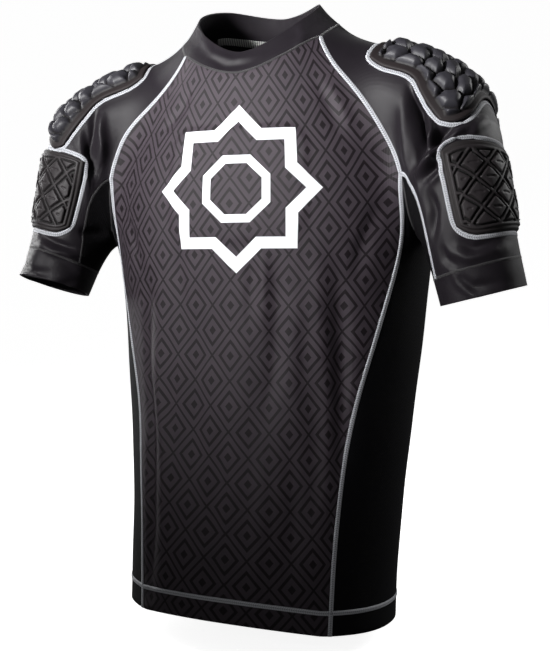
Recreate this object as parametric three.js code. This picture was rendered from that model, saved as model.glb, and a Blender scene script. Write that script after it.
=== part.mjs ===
// A short-sleeved padded compression shirt in the shape it has when worn, with nobody in it.
//
// Millimetres. +X is the wearer's left, -Y the front and +Z up. The origin is the middle of the
// neck at the height of the shoulder seams, where the wearer carries the shirt.
//
// The body is a tube of sections up to the neck, and each raglan sleeve is a tube that bends from
// the neck over the shoulder and down the arm. The two run softly into each other, and every panel
// is a thin wall cut from that one skin, so neighbours meet along the same seam points.
import * as THREE from "three";

// Driving sizes
const clothThickness = 1.6;
const cuffThickness = 2.2;
const collarThickness = 2.0;
const seamGap = 0.3;
const underarmBlend = 34;
const hemHeight = -634;
const hemTilt = 0.025;
const hemBow = 5;
const cuffLength = { left: { outer: 29, under: 29 }, right: { outer: 36.5, under: 29.5 } };

// Body sections, from the neck down to the hem.
const bodySections = [
  { z: 40, halfWidth: 78, front: -64, back: 66, squareness: 2 },
  { z: 5, halfWidth: 86, front: -71, back: 71, squareness: 2 },
  { z: -20, halfWidth: 102, front: -74, back: 84, squareness: 2 },
  { z: -48, halfWidth: 124, front: -77, back: 99, squareness: 2 },
  { z: -80, halfWidth: 148, front: -81, back: 116, squareness: 2.1 },
  { z: -120, halfWidth: 168, front: -87, back: 131, squareness: 2.2 },
  { z: -160, halfWidth: 180, front: -91, back: 141, squareness: 2.3 },
  { z: -220, halfWidth: 184, front: -93, back: 147, squareness: 2.3 },
  { z: -300, halfWidth: 177, front: -91, back: 143, squareness: 2.3 },
  { z: -400, halfWidth: 169, front: -94, back: 128, squareness: 2.3 },
  { z: -480, halfWidth: 162.5, front: -100, back: 114, squareness: 2.3 },
  { z: -560, halfWidth: 158.5, front: -107, back: 102, squareness: 2.3 },
  { z: -635, halfWidth: 156.5, front: -112, back: 95, squareness: 2.3 },
];

// The middle line of a sleeve, from inside the neck over the shoulder to below the cuff, with its
// radii. The right arm hangs further forward than the left one. The cuff seam is at cuffSeam.
const shoulderSections = [
  { x: 45, y: 0, z: -70, outer: 62, under: 40, front: 46, back: 60 },
  { x: 78, y: 2, z: -71, outer: 62, under: 44, front: 48, back: 62 },
  { x: 135, y: 4, z: -78, outer: 58, under: 50, front: 52, back: 62 },
  { x: 180, y: -2, z: -94.5, outer: 57, under: 53, front: 55, back: 60 },
];
const leftArm = [
  { x: 212, y: -12, z: -120, outer: 56, under: 55, front: 54, back: 57 },
  { x: 223, y: -22, z: -158, outer: 51, under: 53, front: 53, back: 54 },
  { x: 234, y: -28, z: -204, outer: 50.5, under: 49, front: 50, back: 51 },
  { x: 246, y: -30, z: -250, outer: 47, under: 45, front: 46, back: 47 },
  { x: 256.5, y: -29, z: -292, outer: 46, under: 44, front: 45, back: 46 },
  { x: 267.5, y: -27, z: -336, outer: 46, under: 44, front: 45, back: 46 },
];
const rightArm = [
  { x: 212, y: -9, z: -118, outer: 56, under: 55, front: 54, back: 57 },
  { x: 222, y: -13, z: -156, outer: 54, under: 53, front: 53, back: 54 },
  { x: 233, y: -19, z: -202, outer: 49, under: 48, front: 49, back: 50 },
  { x: 245, y: -28, z: -245, outer: 43, under: 42, front: 44, back: 44 },
  { x: 257, y: -39, z: -286, outer: 42, under: 41, front: 43, back: 43 },
  { x: 269, y: -51, z: -328, outer: 42, under: 41, front: 43, back: 43 },
];
const shoulderLift = { left: { neck: 8, shoulder: 3.5 }, right: { neck: 2, shoulder: -1 } };
const cuffSeam = { left: { x: 247.5, y: -30, z: -256 }, right: { x: 245, y: -28, z: -245 } };

// Neck: the angle runs from the front centre, and the seam is lowest at the front.
const neck = {
  halfWidth: 78,
  front: -78,
  back: 72,
  middle: -9.5,
  tilt: -27.5,
  dip: -11,
  slant: { left: 0.11, right: 0.045 },
};
const raglanAngle = { left: { front: 62, back: 120 }, right: { front: 50, back: 120 } };

// The collar's rise above the neck seam and its lean inwards, by the same angle.
const collarShape = {
  left: [
    { angle: 0, rise: 23, lean: 12 },
    { angle: 90, rise: 21, lean: 21 },
    { angle: 180, rise: 27, lean: 10 },
  ],
  right: [
    { angle: 0, rise: 23, lean: 12 },
    { angle: 90, rise: 27, lean: 18 },
    { angle: 180, rise: 27, lean: 10 },
  ],
};

// Raglan seams from the neck to the armpit, as seen from the front or the back.
const frontRaglan = {
  left: [
    { x: 97, z: -39 },
    { x: 119, z: -62 },
    { x: 142, z: -92 },
    { x: 158, z: -119 },
    { x: 168, z: -139 },
  ],
  right: [
    { x: 78, z: -40 },
    { x: 97, z: -61 },
    { x: 118, z: -77 },
    { x: 140, z: -93 },
    { x: 156, z: -113 },
    { x: 168, z: -136 },
  ],
};
const backRaglan = [
  { x: 92, z: -30 },
  { x: 110, z: -55 },
  { x: 130, z: -84 },
  { x: 147, z: -112 },
  { x: 162, z: -136 },
];

// The armpit curve: a fan from a point inside the shoulder, measured from straight down.
const armpit = { frontX: 174, backX: 180, leave: 3, y: -6, z: -116, frontAngle: 50, backAngle: 42 };

// Side seams: the section angle of the front and back edges of the side panels.
const sideSeams = [
  { z: -160, front: 66, back: 112 },
  { z: -212, front: 66, back: 112 },
  { z: -242, front: 64.5, back: 113 },
  { z: -300, front: 57, back: 118 },
  { z: -342, front: 52, back: 122 },
  { z: -400, front: 45.5, back: 128 },
  { z: -500, front: 41.5, back: 133 },
  { z: -635, front: 40, back: 135 },
];

// How finely the panels are divided.
const counts = { raglan: 9, side: 14, front: 22, back: 18, neckSide: 4, underarm: 5, sleeve: 18 };

// Large folds: soft ridges and troughs along a line on the skin.
const folds = [
  // left sleeve, between the shoulder pad and the armpit
  { from: [198, -56, -92], to: [194, -66, -142], width: 12, height: 5 },
  { from: [222, -72, -126], to: [188, -56, -176], width: 11, height: 5.5 },
  { from: [210, -66, -108], to: [192, -60, -156], width: 10, height: -4 },
  // right sleeve
  { from: [-198, -54, -92], to: [-188, -66, -152], width: 12, height: 5 },
  { from: [-214, -66, -126], to: [-186, -56, -170], width: 11, height: 4.5 },
  // near the cuffs
  { from: [250, -72, -236], to: [222, -58, -252], width: 12, height: 3 },
  { from: [-254, -72, -226], to: [-222, -60, -244], width: 12, height: 3 },
  // behind the sleeves
  { from: [206, 46, -96], to: [190, 62, -160], width: 14, height: 5 },
  { from: [-206, 46, -96], to: [-190, 62, -160], width: 14, height: 5 },
  // body
  { from: [-126, -62, -300], to: [-132, -62, -540], width: 20, height: -4 },
  { from: [-96, -80, -290], to: [-104, -86, -560], width: 18, height: 3 },
  { from: [108, -76, -300], to: [96, -90, -500], width: 20, height: -4.5 },
  { from: [80, -84, -270], to: [68, -100, -520], width: 20, height: 3 },
  { from: [-70, 126, -280], to: [-46, 104, -560], width: 24, height: -4 },
  { from: [76, 126, -300], to: [52, 100, -580], width: 24, height: 4 },
];

// The pads, in units of the left sleeve: along runs down its top line from the neck, in
// millimetres, and around is the angle from the top line, positive to the front.
const shoulderPad = {
  start: 90,
  length: [
    { share: -1, end: 250 },
    { share: -0.88, end: 262 },
    { share: -0.6, end: 254 },
    { share: -0.3, end: 235 },
    { share: 0, end: 228 },
    { share: 0.3, end: 235 },
    { share: 0.6, end: 254 },
    { share: 0.88, end: 262 },
    { share: 1, end: 250 },
  ],
  halfAngle: [
    { share: 0, angle: 50 },
    { share: 0.15, angle: 58 },
    { share: 0.45, angle: 59 },
    { share: 0.6, angle: 70 },
    { share: 0.8, angle: 78 },
    { share: 1, angle: 80 },
  ],
  lumpsAlong: 7,
  lumpsAcross: 7,
  stepsPerLump: 4,
  base: 2.4,
  rise: 8,
};
const bicepPad = {
  span: { left: [284, 369], right: [264, 359] },
  turn: { left: 0, right: 26 },
  halfAngle: 88,
  corner: 12,
  stepsAlong: 16,
  stepsAcross: 28,
  groovePitch: 4,
  base: 3.4,
  rise: 3.4,
};
const padLift = 1.1;

// A smooth curve through the rows of a table, read by one column.
function curveThrough(rows, key) {
  const columns = Object.keys(rows[0]).filter((name) => name !== key);
  const slope = (column, i) => {
    const low = rows[Math.max(i - 1, 0)];
    const high = rows[Math.min(i + 1, rows.length - 1)];
    return (high[column] - low[column]) / (high[key] - low[key]);
  };
  const rising = rows[1][key] > rows[0][key];
  return (value) => {
    const ends = [rows[0][key], rows[rows.length - 1][key]];
    const at = THREE.MathUtils.clamp(value, Math.min(...ends), Math.max(...ends));
    let i = 0;
    while (i < rows.length - 2 && (rising ? at > rows[i + 1][key] : at < rows[i + 1][key])) i += 1;
    const span = rows[i + 1][key] - rows[i][key];
    const u = (at - rows[i][key]) / span;
    const result = {};
    for (const column of columns) {
      const a = rows[i][column];
      const b = rows[i + 1][column];
      const startPull = slope(column, i) * span;
      const endPull = slope(column, i + 1) * span;
      const blend = u * u * (3 - 2 * u);
      result[column] = a + (b - a) * blend + startPull * u * (1 - u) ** 2 - endPull * u * u * (1 - u);
    }
    return result;
  };
}

const radians = THREE.MathUtils.degToRad;
const lerp = THREE.MathUtils.lerp;
const bodyAt = curveThrough(bodySections, "z");
const sideSeamAt = curveThrough(sideSeams, "z");

// The body tube: a point on a section, and how far a point lies outside it.
function bodyPoint(angle, z) {
  const s = bodyAt(z);
  const power = 2 / s.squareness;
  const across = Math.sin(angle);
  const ahead = Math.cos(angle);
  const x = s.halfWidth * Math.sign(across) * Math.abs(across) ** power;
  const depth = (s.back - s.front) / 2;
  const y = (s.back + s.front) / 2 - depth * Math.sign(ahead) * Math.abs(ahead) ** power;
  return new THREE.Vector3(x, y, z);
}

function outsideBody(p) {
  const s = bodyAt(p.z);
  const middle = (s.back + s.front) / 2;
  const depth = (s.back - s.front) / 2;
  const across = Math.abs(p.x) / s.halfWidth;
  const ahead = Math.abs(p.y - middle) / depth;
  const share = (across ** s.squareness + ahead ** s.squareness) ** (1 / s.squareness);
  const reach = Math.hypot(p.x, p.y - middle);
  return share < 0.01 ? -depth : reach - reach / share;
}

// A half of the shirt is worked out as a left half, with x to the outside, and placed afterwards.
// Its sleeve tube has frames along the middle line, each with a direction to the front and one to
// the top line, which is up at the shoulder and outwards down the arm.
const frameCount = 72;
const radiusColumns = ["outer", "under", "front", "back"];
function makeHalf(side, sign, arm) {
  const lift = shoulderLift[side];
  const shoulder = shoulderSections.map((s) => ({
    ...s,
    z: s.z + THREE.MathUtils.mapLinear(Math.min(s.x, 135), 45, 135, lift.neck, lift.shoulder),
  }));
  const sections = [...shoulder, ...arm];
  const curve = new THREE.CatmullRomCurve3(sections.map((s) => new THREE.Vector3(s.x, s.y, s.z)));
  const frames = Array.from({ length: frameCount + 1 }, (_, i) => {
    const u = i / frameCount;
    const middle = curve.getPoint(u);
    const along = curve.getTangent(u);
    const ahead = new THREE.Vector3(0, -1, 0);
    ahead.addScaledVector(along, -ahead.dot(along)).normalize();
    const out = new THREE.Vector3().crossVectors(ahead, along);
    const place = u * (sections.length - 1);
    const low = Math.min(Math.floor(place), sections.length - 2);
    const frame = { middle, along, ahead, out };
    for (const column of radiusColumns) {
      frame[column] = lerp(sections[low][column], sections[low + 1][column], place - low);
    }
    return frame;
  });
  const put = (p) => new THREE.Vector3(sign * p.x, p.y, p.z);
  const hemAt = (x) => hemHeight - hemTilt * sign * x;
  return { side, frames, put, hemAt };
}
const halves = { left: makeHalf("left", 1, leftArm), right: makeHalf("right", -1, rightArm) };

function frameAt(half, place) {
  const at = THREE.MathUtils.clamp(place, 0, frameCount);
  const low = Math.min(Math.floor(at), frameCount - 1);
  const a = half.frames[low];
  const b = half.frames[low + 1];
  const frame = { middle: a.middle.clone().lerp(b.middle, at - low) };
  for (const name of ["along", "ahead", "out"]) {
    frame[name] = a[name].clone().lerp(b[name], at - low).normalize();
  }
  for (const name of radiusColumns) frame[name] = lerp(a[name], b[name], at - low);
  return frame;
}

// Where a point lies beside the middle line: the nearest place on it.
function nearestPlace(half, p) {
  let best = Infinity;
  let place = 0;
  for (let i = 0; i < frameCount; i += 1) {
    const a = half.frames[i].middle;
    const b = half.frames[i + 1].middle;
    const dx = b.x - a.x;
    const dy = b.y - a.y;
    const dz = b.z - a.z;
    const dot = (p.x - a.x) * dx + (p.y - a.y) * dy + (p.z - a.z) * dz;
    const u = THREE.MathUtils.clamp(dot / (dx * dx + dy * dy + dz * dz), 0, 1);
    const gap = (p.x - a.x - u * dx) ** 2 + (p.y - a.y - u * dy) ** 2 + (p.z - a.z - u * dz) ** 2;
    if (gap < best) {
      best = gap;
      place = i + u;
    }
  }
  return place;
}

function outsideSleeve(half, p) {
  const frame = frameAt(half, nearestPlace(half, p));
  const from = p.clone().sub(frame.middle);
  const out = from.dot(frame.out);
  const ahead = from.dot(frame.ahead);
  const past = from.dot(frame.along);
  const high = out > 0 ? frame.outer : frame.under;
  const wide = ahead > 0 ? frame.front : frame.back;
  const share = Math.hypot(out / high, ahead / wide, past / high);
  const reach = from.length();
  return share < 0.01 ? -wide : reach - reach / share;
}

function sleevePoint(half, place, angle) {
  const frame = frameAt(half, place);
  const high = Math.cos(angle) > 0 ? frame.outer : frame.under;
  const wide = Math.sin(angle) > 0 ? frame.front : frame.back;
  return frame.middle
    .clone()
    .addScaledVector(frame.out, high * Math.cos(angle))
    .addScaledVector(frame.ahead, wide * Math.sin(angle));
}

// The skin of the whole shirt: body and sleeves with a soft blend where they meet.
function outside(p) {
  const half = p.x < 0 ? halves.right : halves.left;
  const body = outsideBody(p);
  const sleeve = outsideSleeve(half, half.put(p));
  const overlap = Math.max(underarmBlend - Math.abs(body - sleeve), 0) / underarmBlend;
  return Math.min(body, sleeve) - (overlap * overlap * underarmBlend) / 4;
}

const probe = 0.5;
function slopeOf(p) {
  const slope = new THREE.Vector3();
  for (const axis of ["x", "y", "z"]) {
    const high = p.clone();
    const low = p.clone();
    high[axis] += probe;
    low[axis] -= probe;
    slope[axis] = (outside(high) - outside(low)) / (2 * probe);
  }
  return slope;
}

// Moves a point onto the skin, freely or along one direction only.
const settleSteps = 14;
const longestStep = 12;
function settle(p, direction) {
  const at = p.clone();
  for (let i = 0; i < settleSteps; i += 1) {
    const slope = slopeOf(at);
    const run = direction || slope;
    const step = -outside(at) / slope.dot(run);
    const limit = longestStep / run.length();
    at.addScaledVector(run, THREE.MathUtils.clamp(step, -limit, limit));
  }
  return at;
}

function foldHeight(p) {
  let height = 0;
  for (const fold of folds) {
    const from = new THREE.Vector3(...fold.from);
    const run = new THREE.Vector3(...fold.to).sub(from);
    const u = THREE.MathUtils.clamp(p.clone().sub(from).dot(run) / run.lengthSq(), 0, 1);
    const gap = p.distanceTo(from.clone().addScaledVector(run, u));
    const taper = Math.sin(Math.PI * THREE.MathUtils.clamp(u, 0.04, 0.96)) ** 0.6;
    height += fold.height * taper * Math.exp(-((gap / fold.width) ** 2));
  }
  return height;
}

// A point of the finished skin: its place with the folds, and the direction out of the cloth.
function skinPoint(p, direction) {
  const place = settle(p, direction);
  const out = slopeOf(place).normalize();
  return { p: place.clone().addScaledVector(out, foldHeight(place)), out, smooth: place };
}

// The same for a point of one half: it is placed, settled and brought back.
function settleIn(half, p, direction) {
  return half.put(settle(half.put(p), direction && half.put(direction)));
}

// Points spread evenly along a line of points.
function spread(points, count) {
  const lengths = [0];
  for (let i = 1; i < points.length; i += 1) {
    lengths.push(lengths[i - 1] + points[i].distanceTo(points[i - 1]));
  }
  const total = lengths[lengths.length - 1];
  return Array.from({ length: count + 1 }, (_, i) => {
    const want = (total * i) / count;
    let k = 1;
    while (k < points.length - 1 && lengths[k] < want) k += 1;
    const u = (want - lengths[k - 1]) / (lengths[k] - lengths[k - 1]);
    return points[k - 1].clone().lerp(points[k], u);
  });
}

// Seam lines of a half start as plain guesses and are then settled on the skin.
function neckGuess(half, degrees) {
  const angle = radians(degrees);
  const z = neck.middle + neck.tilt * Math.cos(angle) + neck.dip * Math.cos(2 * angle);
  const depth = (neck.back - neck.front) / 2;
  const y = (neck.back + neck.front) / 2 - depth * Math.cos(angle);
  const x = neck.halfWidth * Math.sin(angle);
  return new THREE.Vector3(x, y, z + neck.slant[half.side] * x);
}

function neckPoint(half, degrees) {
  const guess = neckGuess(half, degrees);
  const level = new THREE.Vector3(guess.x, guess.y + 3, 0).normalize();
  return settleIn(half, guess, level);
}

function armpitPoint(half, degrees, between) {
  const angle = radians(degrees);
  const direction = new THREE.Vector3(0, -Math.sin(angle), -Math.cos(angle));
  const start = new THREE.Vector3(degrees > 0 ? armpit.frontX : armpit.backX, armpit.y, armpit.z).addScaledVector(direction, 60);
  let p = settleIn(half, start, direction);
  for (let i = 0; between !== undefined && i < 24; i += 1) {
    const off = outsideBody(p) - outsideSleeve(half, p) - between;
    p.x -= THREE.MathUtils.clamp(off / 2, -4, 4);
    p = settleIn(half, p, direction);
  }
  return p;
}

// The line of the armpit lies in the valley between body and sleeve, and leaves it at its ends.
function armpitLine(half) {
  const ends = [armpit.frontAngle, -armpit.backAngle].map((angle) => armpitPoint(half, angle));
  const apart = ends.map((p) => outsideBody(p) - outsideSleeve(half, p));
  const places = 20;
  const line = Array.from({ length: places + 1 }, (_, i) => {
    const u = i / places;
    if (i === 0) return ends[0];
    if (i === places) return ends[1];
    const between = apart[0] * (1 - u) ** armpit.leave + apart[1] * u ** armpit.leave;
    return armpitPoint(half, lerp(armpit.frontAngle, -armpit.backAngle, u), between);
  });
  const points = spread(new THREE.CatmullRomCurve3(line).getPoints(120), counts.underarm);
  return points.map((p, i) => (i === 0 || i === counts.underarm ? p : settleIn(half, p)));
}

function raglanLine(half, table, neckEnd, armpitEnd, towards) {
  const direction = new THREE.Vector3(0, towards, 0);
  const guesses = table.map((row) => {
    const section = bodyAt(row.z);
    const y = bodyPoint(Math.asin(Math.min(row.x / section.halfWidth, 0.99)), row.z).y;
    const middle = (section.back + section.front) / 2;
    const depth = Math.max(Math.abs(y - middle), 50);
    return settleIn(half, new THREE.Vector3(row.x, middle + towards * depth, row.z), direction);
  });
  const line = new THREE.CatmullRomCurve3([neckEnd, ...guesses, armpitEnd]).getPoints(60);
  const points = spread(line, counts.raglan);
  return points.map((p, i) => (i === 0 || i === counts.raglan ? p : settleIn(half, p)));
}

// A side seam from the armpit to the hem, with closer rows near the armpit.
const downSide = (j) => (j / counts.side) ** 1.3;
function sideLine(half, edge, start) {
  return Array.from({ length: counts.side + 1 }, (_, j) => {
    const v = downSide(j);
    const first = bodyPoint(radians(sideSeamAt(start.z)[edge]), start.z);
    const last = bodyPoint(radians(sideSeamAt(hemHeight)[edge]), hemHeight);
    const z = lerp(start.z, half.hemAt(last.x), v);
    const guess = bodyPoint(radians(sideSeamAt(z)[edge]), z);
    guess.addScaledVector(start.clone().sub(first), (1 - v) ** 8);
    return j === 0 ? start : settleIn(half, guess);
  });
}

// The front or back panel: each row runs from the right edge to the left edge over the section.
function bodyPanel(line, neckCentre, end, columns, turned) {
  return halves.left[line].map((_, j) => {
    const dipShare = Math.max(1 - j / counts.raglan, 0) ** 1.2;
    return Array.from({ length: columns + 1 }, (_, i) => {
      const share = (2 * i) / columns - 1;
      const half = share < 0 ? halves.right : halves.left;
      const edge = half[line][j];
      const neckEdge = raglanAngle[half.side][end];
      const neckAngle = lerp(neckCentre, neckEdge, Math.abs(share));
      if (Math.abs(share) === 1) return half.put(edge);
      if (j === 0) return half.put(neckPoint(half, neckAngle));
      const section = bodyAt(edge.z);
      const middle = (section.back + section.front) / 2;
      const depth = (section.back - section.front) / 2;
      const across = (edge.x / section.halfWidth) ** (section.squareness / 2);
      const ahead = (Math.abs(edge.y - middle) / depth) ** (section.squareness / 2);
      const edgeAngle = Math.atan2(across, ahead);
      const dip = (neckGuess(half, neckAngle).z - neckGuess(half, neckEdge).z) * dipShare;
      const middleLevel = (halves.left[line][j].z + halves.right[line][j].z) / 2;
      const z = lerp(middleLevel, edge.z, Math.abs(share)) + dip;
      const turn = (angle) => (turned ? Math.PI - angle : angle);
      const bow = turned ? 0 : hemBow * (1 - share * share) * (j / (halves.left[line].length - 1)) ** 6;
      const guess = bodyPoint(turn(Math.abs(share) * edgeAngle), z + bow);
      const corner = bodyPoint(turn(edgeAngle), edge.z);
      guess.addScaledVector(edge.clone().sub(corner), Math.abs(share) ** 3);
      return settle(half.put(guess));
    });
  });
}

function sidePanel(half) {
  return half.sideFront.map((front, j) => {
    const back = half.sideBack[j];
    const v = downSide(j);
    return half.armpitCurve.map((top, i) => {
      const u = i / counts.underarm;
      const angleAt = (z) => radians(lerp(sideSeamAt(z).front, sideSeamAt(z).back, u));
      const last = bodyPoint(angleAt(hemHeight), hemHeight);
      const z = lerp(top.z, half.hemAt(last.x), v);
      const first = bodyPoint(angleAt(top.z), top.z);
      const guess = bodyPoint(angleAt(z), z).addScaledVector(top.clone().sub(first), (1 - v) ** 8);
      if (j === 0) return top;
      if (i === 0) return front;
      if (i === counts.underarm) return back;
      return settleIn(half, guess);
    });
  });
}

// A line down the sleeve, from a point on its start loop to the seam of the cuff.
function sleeveCoordinates(half, p) {
  const place = nearestPlace(half, p);
  const frame = frameAt(half, place);
  const from = p.clone().sub(frame.middle);
  const high = from.dot(frame.out) > 0 ? frame.outer : frame.under;
  const wide = from.dot(frame.ahead) > 0 ? frame.front : frame.back;
  return { place, angle: Math.atan2(from.dot(frame.ahead) / wide, from.dot(frame.out) / high) };
}

function sleeveLine(half, start, endAngle, swell, wrap) {
  const first = sleeveCoordinates(half, start);
  if (wrap && first.angle < 0) first.angle += 2 * Math.PI;
  const shift = start.clone().sub(sleevePoint(half, first.place, first.angle));
  const seam = cuffSeam[half.side];
  const endPlace = nearestPlace(half, new THREE.Vector3(seam.x, seam.y, seam.z));
  return Array.from({ length: counts.sleeve + 1 }, (_, j) => {
    if (j === 0) return start;
    const v = j / counts.sleeve;
    const swing = radians(swell) * Math.sin(Math.PI * v ** 0.7);
    const angle = lerp(first.angle, endAngle, v * v * (3 - 2 * v)) + swing;
    const guess = sleevePoint(half, lerp(first.place, endPlace, v), angle);
    return settleIn(half, guess.addScaledVector(shift, (1 - v) ** 3));
  });
}

// Angles round the cuff seam, from the front of the underarm over the top to its back.
const underarmAngle = { front: 146, back: -142, swell: 16 };

for (const half of Object.values(halves)) {
  const turns = raglanAngle[half.side];
  const neckAngle = (i) => lerp(turns.front, turns.back, i / counts.neckSide);
  half.armpitCurve = armpitLine(half);
  half.neckSide = Array.from({ length: counts.neckSide + 1 }, (_, i) => neckPoint(half, neckAngle(i)));
  const frontArmpit = half.armpitCurve[0];
  const backArmpit = half.armpitCurve[counts.underarm];
  half.raglanFront = raglanLine(half, frontRaglan[half.side], half.neckSide[0], frontArmpit, -1);
  half.raglanBack = raglanLine(half, backRaglan, half.neckSide[counts.neckSide], backArmpit, 1);
  half.sideFront = sideLine(half, "front", frontArmpit);
  half.sideBack = sideLine(half, "back", backArmpit);
  half.frontLine = [...half.raglanFront, ...half.sideFront.slice(1)];
  half.backLine = [...half.raglanBack, ...half.sideBack.slice(1)];
  const { front, back } = underarmAngle;
  const start = [...half.raglanFront.slice().reverse(), ...half.neckSide.slice(1, -1), ...half.raglanBack];
  half.sleeveColumns = start.map((p, i) => {
    const share = i / (start.length - 1);
    const swell = -underarmAngle.swell * Math.max(1 - 4 * share, 0);
    return sleeveLine(half, p, radians(lerp(front, back, share)), swell, false);
  });
  half.gussetColumns = half.armpitCurve.map((p, i) => {
    if (i === 0) return half.sleeveColumns[0];
    if (i === counts.underarm) return half.sleeveColumns[half.sleeveColumns.length - 1];
    const share = i / counts.underarm;
    const swell = -underarmAngle.swell * (1 - share) ** 2;
    return sleeveLine(half, p, radians(lerp(front, 360 + back, share)), swell, true);
  });
}
const turnGrid = (columns) => columns[0].map((_, j) => columns.map((column) => column[j]));

// Skin points are made once for each place, so both sides of a seam hold the same point.
const made = new Map();
function onSkin(p) {
  const key = [p.x, p.y, p.z].map((n) => n.toFixed(3)).join();
  if (!made.has(key)) made.set(key, skinPoint(p));
  return made.get(key);
}
const skinGrid = (grid) => grid.map((row) => row.map(onSkin));

// Evens out the points inside a grid and lays them back on the skin. Its edges stay.
const evenRounds = 6;
function evenOut(grid) {
  let now = grid;
  const inside = (j, i) => j > 0 && i > 0 && j < grid.length - 1 && i < grid[0].length - 1;
  for (let round = 0; round < evenRounds; round += 1) {
    const last = now;
    now = last.map((row, j) =>
      row.map((p, i) => {
        if (!inside(j, i)) return p;
        const around = last[j - 1][i].clone().add(last[j + 1][i]).add(row[i - 1]).add(row[i + 1]);
        return p.clone().lerp(around.multiplyScalar(0.25), 0.5);
      }),
    );
  }
  return now.map((row, j) => row.map((p, i) => (inside(j, i) ? settle(p) : p)));
}

// Draws the edges of a grid in by half the seam gap, along the cloth.
function drawIn(grid, wraps) {
  const rows = grid.length;
  const columns = grid[0].length;
  const towards = (from, to) => {
    const step = to.p.clone().sub(from.p);
    step.addScaledVector(from.out, -step.dot(from.out));
    return step.setLength(seamGap / 2);
  };
  return grid.map((row, j) =>
    row.map((point, i) => {
      const p = point.p.clone();
      if (j === 0) p.add(towards(point, grid[1][i]));
      if (j === rows - 1) p.add(towards(point, grid[rows - 2][i]));
      if (!wraps && i === 0) p.add(towards(point, row[1]));
      if (!wraps && i === columns - 1) p.add(towards(point, row[columns - 2]));
      return { ...point, p };
    }),
  );
}

// A wall: outer points moved out by their height, and plain inner points at every second place or
// at every place. The rims join them into one closed solid.
function wallGeometry(grid, { wraps = false, inner, outer, innerStep = 1 }) {
  const rows = grid.length;
  const columns = grid[0].length;
  const positions = [];
  const faces = [];
  const add = (v) => positions.push(v.x, v.y, v.z) / 3 - 1;
  const outerIndex = grid.map((row, j) =>
    row.map((point, i) => add(point.p.clone().addScaledVector(point.out, outer(i, j)))),
  );
  const innerIndex = grid.map((row, j) =>
    row.map((point, i) =>
      j % innerStep || i % innerStep ? -1 : add(point.p.clone().addScaledVector(point.out, inner)),
    ),
  );
  const lastColumn = wraps ? columns : columns - 1;
  const at = (index, j, i) => index[j][i % columns];
  for (let j = 0; j < rows - 1; j += 1) {
    for (let i = 0; i < lastColumn; i += 1) {
      const [a, b] = [at(outerIndex, j, i), at(outerIndex, j, i + 1)];
      const [c, d] = [at(outerIndex, j + 1, i + 1), at(outerIndex, j + 1, i)];
      const valley = outer(i, j) + outer(i + 1, j + 1) <= outer(i + 1, j) + outer(i, j + 1);
      if (valley) faces.push([a, b, c], [a, c, d]);
      else faces.push([a, b, d], [b, c, d]);
    }
  }
  for (let j = 0; j < rows - 1; j += innerStep) {
    for (let i = 0; i < lastColumn; i += innerStep) {
      const [a, b] = [at(innerIndex, j, i), at(innerIndex, j, i + innerStep)];
      const [c, d] = [at(innerIndex, j + innerStep, i + innerStep), at(innerIndex, j + innerStep, i)];
      faces.push([c, b, a], [d, c, a]);
    }
  }
  const rim = (places, split) => {
    for (let k = 0; k + innerStep < places.length; k += innerStep) {
      const low = innerIndex[places[k][0]][places[k][1]];
      const high = innerIndex[places[k + innerStep][0]][places[k + innerStep][1]];
      const line = places.slice(k, k + innerStep + 1).map(([j, i]) => outerIndex[j][i]);
      for (let m = 0; m < innerStep; m += 1) faces.push([line[m + 1], line[m], m < split ? low : high]);
      faces.push([line[split], low, high]);
    }
  };
  const across = (j) => Array.from({ length: lastColumn + 1 }, (_, i) => [j, i % columns]);
  const down = (i) => Array.from({ length: rows }, (_, j) => [j, i]);
  const [ahead, behind] = [Math.ceil(innerStep / 2), Math.floor(innerStep / 2)];
  rim(across(0), ahead);
  rim(across(rows - 1).reverse(), behind);
  if (!wraps) {
    rim(down(columns - 1), ahead);
    rim(down(0).reverse(), behind);
  }
  const centre = grid[Math.floor(rows / 2)][Math.floor(columns / 2)];
  const beside = grid[Math.floor(rows / 2)][Math.floor(columns / 2) + 1].p.clone().sub(centre.p);
  const below = grid[Math.floor(rows / 2) + 1][Math.floor(columns / 2)].p.clone().sub(centre.p);
  if (beside.cross(below).dot(centre.out) < 0) faces.forEach((face) => face.reverse());
  const geometry = new THREE.BufferGeometry();
  geometry.setAttribute("position", new THREE.Float32BufferAttribute(positions, 3));
  geometry.setIndex(faces.flat());
  geometry.computeVertexNormals();
  return geometry;
}

const shirt = new THREE.Group();
const finishes = {
  print: new THREE.MeshStandardMaterial({ color: 0x3c393c, roughness: 0.62, metalness: 0 }),
  plain: new THREE.MeshStandardMaterial({ color: 0x2b2a2d, roughness: 0.5, metalness: 0 }),
  mesh: new THREE.MeshStandardMaterial({ color: 0x0e0e10, roughness: 0.75, metalness: 0 }),
  foam: new THREE.MeshStandardMaterial({ color: 0x1f1f22, roughness: 0.42, metalness: 0 }),
};

function addPiece(name, finish, geometry) {
  const piece = new THREE.Mesh(geometry, finishes[finish]);
  piece.name = name;
  shirt.add(piece);
}

function addCloth(name, finish, grid, wraps = false, thickness = clothThickness) {
  const points = drawIn(grid, wraps);
  addPiece(name, finish, wallGeometry(points, { wraps, inner: -thickness, outer: () => 0 }));
}

const frontGrid = bodyPanel("frontLine", 0, "front", counts.front, false);
const backGrid = bodyPanel("backLine", 180, "back", counts.back, true);
addCloth("front", "print", skinGrid(evenOut(frontGrid)));
addCloth("back", "plain", skinGrid(evenOut(backGrid)));

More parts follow.
